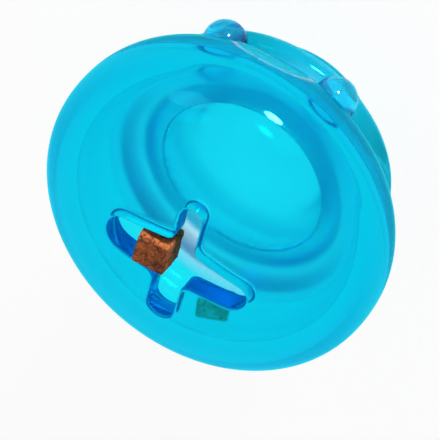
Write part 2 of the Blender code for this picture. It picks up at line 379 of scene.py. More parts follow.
@dataclass(frozen=True)
class BakedTreat:
    """Baked crumb with darker pits and scorched patches."""

    name: str
    crust: Colour
    scorched: Colour
    pit: Colour = (0.035, 0.012, 0.006)
    bright: Colour = (0.62, 0.24, 0.06)
    speckle_share: float = 0.35
    pit_share: float = 0.85
    bump_depth: float = 0.0004
    bump_strength: float = 0.9
    roughness: Point = (0.72, 0.92)
    shine: float = 0.3

    def material(self, crumb: NodeTree) -> Material:
        """Build the material.

        Args:
            crumb: The group with crumb, pits and patches.

        Returns:
            The material.
        """
        made, wiring = new_material(self.name)
        parts = wiring.add("ShaderNodeGroup", {"node_tree": crumb}).outputs
        crust = wiring.blend(parts["Patches"], self.crust, self.scorched)
        speckles = wiring.math("MULTIPLY", parts["Speckle"], self.speckle_share)
        grains = wiring.blend(speckles, crust, self.bright)
        pits = wiring.math("MULTIPLY", parts["Pits"], self.pit_share)
        relief = {"Strength": self.bump_strength, "Distance": self.bump_depth}
        shader = wiring.out(
            "ShaderNodeBsdfPrincipled",
            Base_Color=wiring.blend(pits, grains, self.pit),
            Roughness=wiring.spread(parts["Patches"], (0.0, 1.0), self.roughness),
            Normal=wiring.out("ShaderNodeBump", Height=parts["Height"], **relief),
            Specular_IOR_Level=self.shine,
        )
        wiring.add("ShaderNodeOutputMaterial", Surface=shader)
        return made


class Finishes:
    """Every material of the toy, built once."""

    def __init__(self) -> None:
        """Build the shared groups, then the materials."""
        flow = flow_group()
        crumb = crumb_group()
        self.front = ClearRubber(
            "clear_rubber_front", (0.0, 0.885, 0.972), density=180.0, wave_depth=0.00005, wave_scale=38.0
        ).material(flow)
        self.rear = ClearRubber(
            "clear_rubber_rear", (0.0, 0.940, 0.992), density=100.0, wave_depth=0.00006, wave_scale=55.0
        ).material(flow)
        self.stud = ClearRubber(
            "stud_rubber",
            (0.0, 0.979, 0.9970),
            density=800.0,
            wave_depth=0.00003,
            wave_scale=90.0,
            reflection=(0.4, 0.9, 1.0),
        ).material(flow)
        self.bond = CuredBond("cured_bond").material(flow)
        self.held = BakedTreat("held_crumb", (0.36, 0.085, 0.018), (0.15, 0.034, 0.010)).material(crumb)
        self.loose = BakedTreat("loose_crumb", (0.60, 0.42, 0.34), (0.38, 0.26, 0.20)).material(crumb)


def dress(piece: Object, slot: Slot, body: str, *nodes: Node) -> None:
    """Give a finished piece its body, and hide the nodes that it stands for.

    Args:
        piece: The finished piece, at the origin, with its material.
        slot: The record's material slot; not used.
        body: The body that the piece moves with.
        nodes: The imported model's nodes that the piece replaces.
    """
    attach(piece, body)
    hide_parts(*(node.value for node in nodes))
    piece.data.calc_loop_triangles()
    LOG.info("%s: %d triangles, rides on %s", piece.name, len(piece.data.loop_triangles), body)


def link(name: str, mesh: Mesh, material: Material | None = None) -> Object:
    """Put a mesh into the scene as an object at the origin.

    Args:
        name: The object's name.
        mesh: Its mesh.
        material: Its material, if the mesh has none yet.

    Returns:
        The object.
    """
    if material:
        mesh.materials.append(material)
    made = bpy.data.objects.new(name, mesh)
    bpy.context.scene.collection.objects.link(made)
    return made


def with_mask(mesh: Mesh, mask: Mask, test: Callable[[Array], Array]) -> Mesh:
    """Give the points of a mesh a value that its material reads.

    Args:
        mesh: The mesh.
        mask: The value's name.
        test: Gives the value at each point.

    Returns:
        The same mesh with its mask.
    """
    places = np.empty(len(mesh.vertices) * 3)
    mesh.vertices.foreach_get("co", places)
    values = mesh.attributes.new(mask.value, "FLOAT", "POINT").data
    values.foreach_set("value", test(places.reshape(-1, 3)).astype(np.float32))
    return mesh


@dataclass(frozen=True)
class Bow:
    """The bowed profile of the main chamber, about the centre of its widest circle."""

    radius: float
    height: float
    power: float = 2.3

    def point(self, angle: float) -> Point:
        """Radius and height at an angle, which is 0 at the pole and a quarter turn at the widest circle."""
        across = self.radius * abs(math.sin(angle)) ** (2.0 / self.power)
        up = self.height * abs(math.cos(angle)) ** (2.0 / self.power)
        return across, math.copysign(up, math.cos(angle))

    def points(self, start: float, end: float, steps: int) -> list[Point]:
        """Evenly turned points of the profile, from one angle to another, both ends included."""
        return [self.point(start + (end - start) * step / steps) for step in range(steps + 1)]

    def angle_at_radius(self, radius: float) -> float:
        """The angle, on the front half, at which the profile has this radius."""
        return math.asin((radius / self.radius) ** (self.power / 2.0))

    def angle_behind(self, share: float) -> float:
        """The angle at which the profile has come this share of its height behind the widest circle."""
        return math.pi - math.acos(share ** (self.power / 2.0))

    def facing(self, point: Point) -> float:
        """The direction that the profile faces at a point, in degrees from outwards towards up."""
        out = (abs(point[0]) / self.radius) ** (self.power - 1.0) / self.radius
        up = (abs(point[1]) / self.height) ** (self.power - 1.0) / self.height
        return math.degrees(math.atan2(math.copysign(up, point[1]), out))

    def height_at(self, radius: Array) -> Array:
        """Height of the front half above the widest circle at these radii."""
        share = np.clip(np.abs(radius) / self.radius, 0.0, 1.0) ** self.power
        return self.height * (1.0 - share) ** (1.0 / self.power)

    def level(self, radius: Array, height: Array) -> Array:
        """A value that is under 1 inside the profile, 1 on it and over 1 outside."""
        return (radius / self.radius) ** self.power + (np.abs(height) / self.height) ** self.power

    def reach(self, angle: float) -> float:
        """How far the profile reaches in a direction, from its centre."""
        power = self.power / (self.power - 1.0)
        across = (self.radius * math.cos(angle)) ** power
        return (across + (self.height * math.sin(angle)) ** power) ** (1.0 / power)


def arc(centre: Point, radius: float, start: float, end: float, steps: int) -> list[Point]:
    """Points on a round corner, both ends included, at angles in degrees from outwards towards up."""
    angles = [math.radians(start + (end - start) * step / steps) for step in range(steps + 1)]
    return [(centre[0] + radius * math.cos(a), centre[1] + radius * math.sin(a)) for a in angles]


def softened(corners: Sequence[tuple[float, float, float]], steps: int = 4) -> list[Point]:
    """Round the inner corners of a run of straight lines.

    Args:
        corners: Radius, height and corner radius of each point; the first and last keep their place.
        steps: Points on each round corner.

    Returns:
        The points of the rounded run.
    """
    run = [corners[0][:2]]
    for before, here, after in zip(corners, corners[1:], corners[2:]):
        spot, size = Vector(here[:2]), here[2]
        back, forth = Vector(before[:2]) - spot, Vector(after[:2]) - spot
        half = back.angle(forth) / 2.0
        if size <= 0.0 or half > STRAIGHT:
            run.append(here[:2])
            continue
        away = min(size / math.tan(half), LONGEST_CUT * back.length, LONGEST_CUT * forth.length)
        start, end = spot + back.normalized() * away, spot + forth.normalized() * away
        for step in range(steps + 1):
            t = step / steps
            run.append(tuple(start.lerp(spot, t).lerp(spot.lerp(end, t), t)))
    return [*run, corners[-1][:2]]


def filled_in(points: Sequence[Point], spacing: float) -> list[Point]:
    """Add points along a run, so that none are further apart than the spacing.

    Args:
        points: The run.
        spacing: The widest gap that may stay.

    Returns:
        The run with the added points.
    """
    run = [points[0]]
    for start, end in zip(points, points[1:]):
        gap = math.dist(start, end)
        if gap < TINY:
            continue
        parts = max(1, math.ceil(gap / spacing))
        for part in range(1, parts + 1):
            share = part / parts
            run.append((start[0] + (end[0] - start[0]) * share, start[1] + (end[1] - start[1]) * share))
    return run


def profile_place(points: Array) -> tuple[Array, Array]:
    """Radius of each point, and its height above the widest circle."""
    return np.hypot(points[:, 0], points[:, 1]), points[:, 2] - EQUATOR_HEIGHT


class Skin:
    """A closed surface made of rings with the same number of points."""

    def __init__(self, columns: int, start: float = 0.0) -> None:
        """Start with no rings.

        Args:
            columns: How many points each ring has.
            start: The angle of the first column.
        """
        self.columns = columns
        self.angles = start + np.arange(columns) * 2.0 * np.pi / columns
        self.rings: list[Array] = []
        self.softness: list[float] = []

    def add(self, x: Array, y: Array, z: Array | float, soft: float = 0.0) -> None:
        """Add one ring from its coordinates, with how frosted it is."""
        self.rings.append(np.stack([x, y, np.broadcast_to(z, x.shape)], axis=1))
        self.softness.append(soft)

    def turn(self, points: Sequence[Point], lift: float = EQUATOR_HEIGHT, soft: float = 0.0) -> None:
        """Add a circle for each point of an outline.

        Args:
            points: Radii and heights.
            lift: What is added to each height.
            soft: How frosted the surface is there.
        """
        for radius, height in points:
            self.add(radius * np.cos(self.angles), radius * np.sin(self.angles), height + lift, soft)

    def mesh(self, name: str, move: Callable[[Array], Array] | None = None, poles: bool = False) -> Mesh:
        """Join the rings into a mesh.

        Args:
            name: The mesh's name.
            move: Moves the points before they are joined.
            poles: Close the first and last ring with a fan, and not with each other.

        Returns:
            The closed mesh, shaded smooth.
        """
        points = np.concatenate(self.rings)
        if move:
            points = move(points)
        count, last = self.columns, len(self.rings)
        faces = []
        for ring in range(last - 1 if poles else last):
            low, high = ring * count, (ring + 1) % last * count
            for column in range(count):
                after = (column + 1) % count
                faces.append((low + column, low + after, high + after, high + column))
        if poles:
            for base in (0, (last - 1) * count):
                points = np.concatenate([points, points[base : base + count].mean(axis=0)[None]])
                hub = len(points) - 1
                faces += [(base + column, base + (column + 1) % count, hub) for column in range(count)]
        made = bpy.data.meshes.new(name)
        made.from_pydata(points.tolist(), [], faces)
        soft = np.repeat(self.softness, count).tolist()
        soft += [self.softness[0], self.softness[-1]] if poles else []
        made.attributes.new(Mask.SOFT.value, "FLOAT", "POINT").data.foreach_set("value", soft)
        closed = bmesh.new()
        closed.from_mesh(made)
        bmesh.ops.recalc_face_normals(closed, faces=closed.faces)
        closed.to_mesh(made)
        closed.free()
        made.shade_smooth()
        return made


@dataclass
class Mouth:
    """The mouth's cross: round arm tips and round tab ends (x, y, radius), joined by straight edges."""

    tips: tuple[Circle, ...] = (
        (0.0165, 0.0002, 0.0059),
        (0.0002, 0.0200, 0.0043),
        (-0.0198, 0.0024, 0.0046),
        (-0.0020, -0.0179, 0.0035),
    )
    tabs: tuple[Circle, ...] = (
        (0.0075, 0.0102, 0.0033),
        (-0.0082, 0.0101, 0.0035),
        (-0.0092, -0.0090, 0.0035),
        (0.0038, -0.0104, 0.0026),
    )
    outer_round: float = 0.0010
    inner_round: float = 0.0008
    tip_steps: int = 40
    tab_steps: int = 24

    @staticmethod
    def edge_angle(tip: Circle, tab: Circle, outwards: bool) -> float:
        """Direction of the straight edge that touches a tip's circle and a tab's, on opposite sides."""
        away = Vector(tab[:2]) - Vector(tip[:2])
        lean = math.asin((tip[2] + tab[2]) / away.length)
        if outwards:
            return math.atan2(-away.y, -away.x) - lean
        return math.atan2(away.y, away.x) + lean

    @staticmethod
    def part_of(circle: Circle, start: float, end: float, side: float, steps: int) -> list[Point]:
        """Points on one circle of the outline.

        Args:
            circle: Its centre and radius.
            start: The edge's direction where it meets the circle.
            end: The edge's direction where it leaves it.
            side: 1 at an arm's tip, -1 at a tab's end.
            steps: How many steps lie between them.

        Returns:
            The points, both ends included.
        """
        reach = side * circle[2]
        headings = [start + (end - start) * step / steps for step in range(steps + 1)]
        return [(circle[0] + reach * math.sin(h), circle[1] - reach * math.cos(h)) for h in headings]

    def corner_points(self) -> Array:
        """The outline as closely set points, counter-clockwise."""
        outline = []
        for index, tip in enumerate(self.tips):
            tab, following = self.tabs[index], self.tips[(index + 1) % len(self.tips)]
            into_tip = self.edge_angle(tip, self.tabs[index - 1], True)
            out_of_tip = self.edge_angle(tip, tab, False)
            out_of_tip += math.tau * math.ceil((into_tip - out_of_tip) / math.tau)
            outline += self.part_of(tip, into_tip, out_of_tip, 1.0, self.tip_steps)
            into_next = self.edge_angle(following, tab, True)
            into_next += math.tau * math.floor((out_of_tip - into_next) / math.tau)
            outline += self.part_of(tab, out_of_tip, into_next, -1.0, self.tab_steps)
        return np.array(outline)

    def outline(self, count: int) -> tuple[Array, Array]:
        """Evenly spaced points of the outline.

        Args:
            count: How many points.

        Returns:
            The points, and at each the direction into the rubber.
        """
        raw = self.corner_points()
        raw = np.concatenate([raw, raw[:1]])
        steps = np.concatenate([[0.0], np.cumsum(np.linalg.norm(np.diff(raw, axis=0), axis=1))])
        start = steps[self.tip_steps // 2]
        where = (start + np.arange(count) * steps[-1] / count) % steps[-1]
        points = np.stack([np.interp(where, steps, raw[:, axis]) for axis in (0, 1)], axis=1)
        along = np.roll(points, -1, axis=0) - np.roll(points, 1, axis=0)
        along = (along + np.roll(along, 1, axis=0) + np.roll(along, -1, axis=0)) / 3.0
        along /= np.linalg.norm(along, axis=1)[:, None]
        return points, np.stack([along[:, 1], -along[:, 0]], axis=1)


@dataclass
class Shells:
    """The two rubber mouldings and their lap joint.

    Depths are behind the widest circle. Facings are in degrees, from outwards towards up.
    """

    wall: float = 0.0070
    side_wall: float = 0.0096
    rim_depth: float = 0.0175
    rim_round: float = 0.0032
    groove_radius: float = 0.0350
    groove_rear_depth: float = 0.0262
    groove_corner: float = 0.0016
    neck_radius: float = 0.0276
    neck_slope: tuple[Circle, ...] = ((0.0300, -0.0168, 0.0080), (0.0365, -0.0142, 0.0100))
    cup_radius: float = 0.0245
    floor_share: float = 0.44
    spigot_radius: float = 0.0296
    spigot_front_depth: float = 0.0180
    joint_gap: float = 0.0003
    bond_thickness: float = 0.0010
    flange_radius: float = 0.0415
    flange_round: float = 0.0040
    flange_depth: float = 0.0302
    dome_radius: float = 0.0300
    dome_round: float = 0.0185
    step_round: float = 0.0050
    flat_tilt: float = math.radians(33)
    flat_depth: float = 0.0014
    edge_softness: float = 0.0006
    columns: int = 336
    rear_columns: int = 252
    spacing: float = 0.0011
    fine_spacing: float = 0.0006
    small_round: float = 0.0006
    tiny_round: float = 0.0004
    throat_round: float = 0.0100
    throat_rise: float = 0.0030
    pole_radius: float = 0.0004
    floor_end: Point = (0.0012, 0.0004)
    floor_overlap: float = 0.93
    mouth_circle: float = 0.0310
    mouth_edge_steps: int = 6
    mouth_ring_steps: int = 24
    bow_steps: int = 44
    inner_bow_steps: int = 46
    corner_steps: int = 5
    round_steps: int = 8
    flange_steps: int = 16
    dome_steps: int = 22
    inner_dome_steps: int = 18
    dome_facing: float = -8.0
    step_facing: float = 160.0
    flange_facing: float = 80.0
    bowed_level: float = 0.97
    # where the highlight is painted: width of the band on the rim's round edge and of the flat's border, and
    # the band's facing and spread in degrees
    painted_line_width: float = 0.0003
    painted_border_width: float = 0.0001
    painted_line_facing: float = -35.0
    painted_line_spread: float = 20.0
    clear_from: float = -0.0100
    clear_softness: float = 0.10
    edge_haze: float = 0.25

    def __post_init__(self) -> None:
        """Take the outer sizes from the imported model."""
        low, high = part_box(Node.FRONT.value)
        self.outside = Bow((high[0] - low[0]) / 2.0, high[2] - EQUATOR_HEIGHT)
        self.inside = Bow(self.outside.radius - self.side_wall, self.outside.height - self.wall)
        self.flat_facing = np.array([0.0, -math.cos(self.flat_tilt), -math.sin(self.flat_tilt)])
        self.mouth = Mouth()
        self.collar_radius = self.spigot_radius + 2.0 * self.joint_gap + self.bond_thickness

    def rim(self) -> list[Point]:
        """The round edge of the rim, from the bowed side to the groove's front face."""
        edge = self.outside.point(self.outside.angle_behind(self.rim_depth / self.outside.height))
        facing = self.outside.facing(edge)
        turn = math.radians(facing)
        centre = (edge[0] - self.rim_round * math.cos(turn), edge[1] - self.rim_round * math.sin(turn))
        return arc(centre, self.rim_round, facing, -90.0, self.round_steps)

    def front_sections(self) -> tuple[list[Point], list[Point]]:
        """The front shell's section: its outside down to the lap joint, and its inside up to the mouth."""
        rim = self.rim()
        start = self.outside.angle_at_radius(self.mouth_circle)
        rim_angle = self.outside.angle_behind(self.rim_depth / self.outside.height)
        outside = self.outside.points(start, rim_angle, self.bow_steps)
        corner = (self.groove_radius + self.groove_corner, rim[-1][1] - self.groove_corner)
        groove = arc(corner, self.groove_corner, 90.0, 180.0, self.corner_steps)
        rear, front = -self.groove_rear_depth, -self.spigot_front_depth + self.joint_gap
        side = self.inside.point(self.inside.angle_behind(self.floor_share))
        back = softened(
            [
                (*groove[-1], 0.0),
                (self.groove_radius, rear, self.small_round),
                (self.collar_radius, rear, self.tiny_round),
                (self.collar_radius, front, self.small_round),
                (self.neck_radius, front, 0.0),
            ]
        )
        last = (side[0] - self.floor_end[0], side[1] - self.floor_end[1], 0.0)
        floor = softened([(self.neck_radius, front, 0.0), *self.neck_slope, last])
        start = self.inside.angle_behind(self.floor_share * self.floor_overlap)
        end = self.inside.angle_at_radius(self.mouth_circle)
        inside = self.inside.points(start, end, self.inner_bow_steps)
        outer = filled_in(outside[:-1] + rim + groove + back[1:], self.spacing)
        return outer, filled_in(floor + inside, self.spacing)

    def rear_sections(self) -> tuple[list[Point], list[Point]]:
        """The rear shell's section: from its foot to the spigot, and back inside to its floor."""
        dome_centre = (self.dome_radius - self.dome_round, -EQUATOR_HEIGHT + self.dome_round)
        flange_centre = (self.flange_radius - self.flange_round, -self.flange_depth)
        shoulder = -self.flange_depth - self.flange_round
        step_centre = (self.dome_radius + self.step_round, shoulder - self.step_round)
        face = -self.groove_rear_depth - self.joint_gap
        outside = [(self.pole_radius, -EQUATOR_HEIGHT)]
        outside += arc(dome_centre, self.dome_round, -90.0, self.dome_facing, self.dome_steps)
        outside += arc(step_centre, self.step_round, self.step_facing, 90.0, self.round_steps)
        turn = self.flange_facing
        outside += arc(flange_centre, self.flange_round, -turn, turn, self.flange_steps)
        spigot = softened(
            [
                (*outside[-1], 0.0),
                (self.spigot_radius, face, self.tiny_round),
                (self.spigot_radius, -self.spigot_front_depth, self.small_round),
                (self.neck_radius, -self.spigot_front_depth, 0.0),
            ]
        )
        dome_round = self.dome_round - self.wall
        inside = arc(dome_centre, dome_round, self.dome_facing, -90.0, self.inner_dome_steps)
        throat = softened(
            [
                (self.neck_radius, -self.spigot_front_depth, 0.0),
                (self.cup_radius, -self.flange_depth + self.throat_rise, self.throat_round),
                (*inside[0], 0.0),
            ]
        )
        floor = [(self.pole_radius, -EQUATOR_HEIGHT + self.wall)]
        outer = filled_in(outside + spigot[1:], self.spacing)
        return outer, filled_in(throat + inside[1:] + floor, self.spacing)

    def over_flat(self, points: Array) -> Array:
        """How far points stand out beyond the flat on the rim."""
        limit = self.outside.reach(self.flat_tilt) - self.flat_depth
        return (points - [0.0, 0.0, EQUATOR_HEIGHT]) @ self.flat_facing - limit

    def flattened(self, points: Array) -> Array:
        """Press the small flat into the rim, with a soft edge.

        Args:
            points: The shell's points.

        Returns:
            The moved points.
        """
        over = self.over_flat(points)
        pressed = 0.5 * (over + np.sqrt(over**2 + self.edge_softness**2)) - 0.5 * self.edge_softness
        keep = over > -3.0 * self.edge_softness
        return points - np.where(keep, np.clip(pressed, 0.0, None), 0.0)[:, None] * self.flat_facing

    def front_mesh(self, studs: "Studs") -> Mesh:
        """The front shell: rings that start as the mouth's cross and open into circles.

        Args:
            studs: The studs, which leave their seats in the shell.

        Returns:
            The mesh.
        """
        outline, inward = self.mouth.outline(self.columns)
        skin = Skin(self.columns, math.atan2(outline[0, 1], outline[0, 0]))
        self._mouth_rings(skin, outline, inward, self.outside, outer=True)
        outer, inner = self.front_sections()
        skin.turn(outer[1:])
        bend = next(index for index, point in enumerate(inner) if point[1] > self.clear_from)
        skin.turn(inner[1:bend], soft=1.0)
        skin.turn(inner[bend:-1], soft=self.clear_softness)
        self._mouth_rings(skin, outline, inward, self.inside, outer=False)
        mesh = skin.mesh(Node.FRONT.value, lambda points: studs.seated(self.flattened(points)))
        with_mask(mesh, Mask.BOWED, self.bowed)
        # the mask for the painted highlight: the rim's round edge, the flat's border and the lips round the
        # studs' seats
        with_mask(mesh, Mask.EDGE, lambda points: self.painted_highlight_points(points) | studs.painted_highlight_lip(points))
        return with_mask(mesh, Mask.JOINED, lambda points: self.lapped(points) | studs.in_seat(points))

    def rim_centre(self) -> Point:
        """The centre of the rim's round edge."""
        end = self.rim()[-1]
        return end[0], end[1] + self.rim_round

    def painted_highlight_points(self, points: Array) -> Array:
        """Which points get a painted highlight: those on the rim's round edge or on the border of the flat."""
        radius, height = profile_place(points)
        centre = self.rim_centre()
        outer = np.hypot(radius - centre[0], height - centre[1]) < self.rim_round + self.painted_line_width
        facing = np.degrees(np.arctan2(height - centre[1], radius - centre[0]))
        outer &= (np.abs(facing - self.painted_line_facing) < self.painted_line_spread) & (radius > centre[0])
        return outer | (np.abs(self.over_flat(points)) < self.painted_border_width)

    def bowed(self, points: Array) -> Array:
        """Which points lie on the outside of the bowed face, away from the mouth's walls."""
        radius, height = profile_place(points)
        return (self.outside.level(radius, height) > self.bowed_level) & (height > -self.rim_depth)

    def _mouth_rings(self, skin: Skin, outline: Array, inward: Array, bow: Bow, outer: bool) -> None:
        """Rings of one face of the shell between the mouth's edge and the circle round it.

        Args:
            skin: The surface to add them to.
            outline: The mouth's outline.
            inward: The direction into the rubber at each of its points.
            bow: The face's profile.
            outer: Whether this is the outside, which runs from the mouth outwards.
        """
        rings = []
        size = self.mouth.outer_round if outer else self.mouth.inner_round
        sign = 1.0 if outer else -1.0
        for step in range(self.mouth_edge_steps + 1):
            turn = math.pi / 2.0 * step / self.mouth_edge_steps
            spot = outline + inward * size * (1.0 - math.cos(turn))
            height = bow.height_at(np.hypot(spot[:, 0], spot[:, 1])) - sign * size * (1.0 - math.sin(turn))
            rings.append((spot[:, 0], spot[:, 1], height + EQUATOR_HEIGHT))
        start = np.hypot(rings[-1][0], rings[-1][1])
        own = np.unwrap(np.arctan2(rings[-1][1], rings[-1][0]))
        own += math.tau * round((skin.angles[0] - own[0]) / math.tau)
        for step in range(1, self.mouth_ring_steps + 1):
            share = step / self.mouth_ring_steps
            reach = start + (self.mouth_circle - start) * share
            ease = share * share * (3.0 - 2.0 * share)
            angle = own + (skin.angles - own) * ease
            height = bow.height_at(reach) + EQUATOR_HEIGHT
            rings.append((reach * np.cos(angle), reach * np.sin(angle), height))
        softness = [0.0] * len(rings)
        if not outer:
            rings.reverse()
            softness = [self.clear_softness] * self.mouth_ring_steps
            softness += [self.edge_haze] * (self.mouth_edge_steps + 1)
        for ring, soft in zip(rings, softness):
            skin.add(*ring, soft=soft)

    def rear_mesh(self, studs: "Studs") -> Mesh:
        """The rear shell.

        Args:
            studs: The studs, which leave their seats in the shell.

        Returns:
            The mesh.
        """
        skin = Skin(self.rear_columns)
        outer, inner = self.rear_sections()
        skin.turn(outer)
        skin.turn(inner[1:], soft=1.0)
        mesh = skin.mesh(Node.REAR.value, studs.seated, poles=True)
        return with_mask(mesh, Mask.JOINED, lambda points: self.lapped(points) | studs.in_seat(points))

    def lapped(self, points: Array) -> Array:
        """Which points lie on the bonded faces of the lap joint."""
        radius, height = profile_place(points)
        gap = self.joint_gap
        across = (radius > self.neck_radius + gap / 2.0) & (radius < self.groove_radius - gap)
        low, high = -self.groove_rear_depth - 2.0 * gap, -self.spigot_front_depth + 2.0 * gap
        return across & (height > low) & (height < high)

    def covers(self, points: Array) -> Array:
        """Which points lie inside the rim, the collar or the flange, where a stud is bonded to them."""
        radius, height = profile_place(points)
        centre = self.rim_centre()
        from_edge = np.hypot(radius - centre[0], height - centre[1])
        beyond = (radius > centre[0]) & (height < centre[1])
        in_rim = (height > self.rim()[-1][1]) & (self.outside.level(radius, height) < 1.0)
        in_rim &= ~beyond | (from_edge < self.rim_round)
        in_flange = (height < -self.groove_rear_depth - self.joint_gap) & (radius < self.flange_radius)
        return in_rim | in_flange | (radius < self.groove_radius)

    def bond_mesh(self) -> Mesh:
        """The ring of cured adhesive between collar and spigot."""
        inner = self.spigot_radius + self.joint_gap
        outer = inner + self.bond_thickness
        low, high = -self.groove_rear_depth + self.joint_gap, -self.spigot_front_depth
        middle = (low + high) / 2.0
        corners = [
            (inner, middle, 0.0),
            (inner, low, self.joint_gap),
            (outer, low, self.joint_gap),
            (outer, high, self.joint_gap),
            (inner, high, self.joint_gap),
            (inner, middle, 0.0),
        ]
        skin = Skin(self.columns)
        skin.turn(filled_in(softened(corners), self.fine_spacing)[:-1])
        return skin.mesh(Node.BOND.value)


@dataclass
class Studs:
    """Two ball-headed studs in the groove, one on each side of the rim's flat."""

    ball_radius: float = 0.0068
    ring_radius: float = 0.0435
    depth: float = 0.0216
    half_angle: float = math.radians(25.3)
    stem_radius: float = 0.0016
    stem_end: float = 0.0286
    seat: float = 0.0071
    lip: float = 0.0005
    lip_start: float = 0.2
    lip_end: float = 1.6
    columns: int = 48
    ball_steps: int = 30
    ball_start: float = 89.0
    end_round: float = 0.0004
    pole_radius: float = 0.0002
    spacing: float = 0.0006

    def centres(self) -> list[Array]:
        """The balls' centres."""
        turns = [-math.pi / 2.0 + side * self.half_angle for side in (-1.0, 1.0)]
        radius, height = self.ring_radius, EQUATOR_HEIGHT - self.depth
        return [np.array([radius * math.cos(turn), radius * math.sin(turn), height]) for turn in turns]

    def seated(self, points: Array) -> Array:
        """Push a shell's points out of the balls, so that each sits in its own seat.

        Args:
            points: The shell's points.

        Returns:
            The moved points.
        """
        seat = self.seat
        for centre in self.centres():
            away = points - centre
            reach = np.linalg.norm(away, axis=1)
            eased = 0.5 * (reach + seat + np.sqrt((reach - seat) ** 2 + self.lip**2)) - 0.25 * self.lip
            wanted = np.where(reach < seat + 2.0 * self.lip, np.maximum(eased, seat), reach)
            points = centre + away * (wanted / np.maximum(reach, TINY))[:, None]
        return points

    def over_seat(self, points: Array) -> Array:
        """How far points are from the nearer ball's seat, as a share of its lip."""
        reach = [np.linalg.norm(points - centre, axis=1) for centre in self.centres()]
        return (np.minimum(*reach) - self.seat) / self.lip

    def in_seat(self, points: Array) -> Array:
        """Which points of a shell lie in a ball's seat."""
        return self.over_seat(points) < self.lip_start

    def painted_highlight_lip(self, points: Array) -> Array:
        """Which points of a shell lie on the lip round a ball's seat, where a highlight is painted."""
        over = self.over_seat(points)
        return (over > self.lip_start) & (over < self.lip_end)

    def section(self) -> list[Point]:
        """Half the outline of a stud, from the top of its ball to the end of its stem."""
        neck = math.degrees(math.asin(self.stem_radius / self.ball_radius))
        ball = arc((0.0, 0.0), self.ball_radius, self.ball_start, neck - 90.0, self.ball_steps)
        end = self.stem_end - self.ring_radius
        corners = [(*ball[-1], 0.0), (self.stem_radius, end, self.end_round), (self.pole_radius, end, 0.0)]
        return [*ball, *softened(corners)[1:]]

    def one(self) -> Object:
        """A single stud at the origin, with its stem towards -X."""
        skin = Skin(self.columns)
        skin.turn(filled_in(self.section(), self.spacing), lift=0.0)
        mesh = skin.mesh("stud_form", poles=True)
        mesh.transform(Matrix.Rotation(math.pi / 2.0, 4, "Y"))
        return link("stud_form", mesh)

    def build(self, material: Material, shells: Shells) -> Object:
        """Set the pair into the groove with a node tree.

        Args:
            material: The studs' material.
            shells: The shells that the studs are bonded to.

        Returns:
            The pair as one plain mesh.
        """
        form = self.one()
        tree = ring_of_pieces("stud_pair", 2, form, material)
        height = EQUATOR_HEIGHT - self.depth
        start = -math.pi / 2.0 - self.half_angle
        values = {"Radius": self.ring_radius, "Height": height, "Start": start, "Step": 2.0 * self.half_angle}
        pair = baked_by_nodes("studs", tree, values)
        bpy.data.objects.remove(form)
        with_mask(pair.data, Mask.JOINED, shells.covers)
        return pair


def ring_of_pieces(name: str, count: int, form: Object, material: Material) -> NodeTree:
    """A Geometry Nodes tree that sets copies of a form on a circle, each turned outwards.

    Args:
        name: The tree's name.
        count: How many copies.
        form: The form, pointing along +X at the origin.
        material: The copies' material.

    Returns:
        The tree, with Radius, Height, Start and Step inputs.
    """
    inputs = dict.fromkeys(("Radius", "Height", "Start", "Step"), 0.0)
    group, wiring, given, result = new_group("Geometry", name, inputs, ("Geometry",))
    index = wiring.out("GeometryNodeInputIndex")
    turned = wiring.math("MULTIPLY_ADD", index, given["Step"], given["Start"])
    across, along = (
        wiring.math("MULTIPLY", wiring.math(part, turned), given["Radius"]) for part in ("COSINE", "SINE")
    )
    spot = wiring.out("ShaderNodeCombineXYZ", None, across, along, given["Height"])
    turn = wiring.out("ShaderNodeCombineXYZ", Z=turned)
    points = wiring.out("GeometryNodePoints", Count=count, Position=spot)
    shown = wiring.add("GeometryNodeObjectInfo", Object=form).outputs["Geometry"]
    copies = wiring.out("GeometryNodeInstanceOnPoints", Points=points, Instance=shown, Rotation=turn)
    plain = wiring.out("GeometryNodeRealizeInstances", Geometry=copies)
    wiring.feed(result[0], wiring.out("GeometryNodeSetMaterial", Geometry=plain, Material=material))
    return group


def baked_by_nodes(name: str, tree: NodeTree, values: dict[str, object], base: Mesh | None = None) -> Object:
    """Run a Geometry Nodes tree once and keep its result as a plain mesh.

    Args:
        name: The piece's name.
        tree: The tree.
        values: Its inputs by name.
        base: The mesh that goes in, if the tree takes one.

    Returns:
        The piece, with no modifier left.
    """
    holder = link(name + "_maker", base or bpy.data.meshes.new(name + "_base"))
    modifier = holder.modifiers.new("maker", "NODES")
    modifier.node_group = tree
    for item in tree.interface.items_tree:
        if item.in_out == "INPUT" and item.name in values:
            modifier[item.identifier] = values[item.name]
    holder.update_tag()
    graph = bpy.context.evaluated_depsgraph_get()
    graph.update()
    mesh = bpy.data.meshes.new_from_object(holder.evaluated_get(graph))
    bpy.data.objects.remove(holder)
    mesh.name = name
    return link(name, mesh)


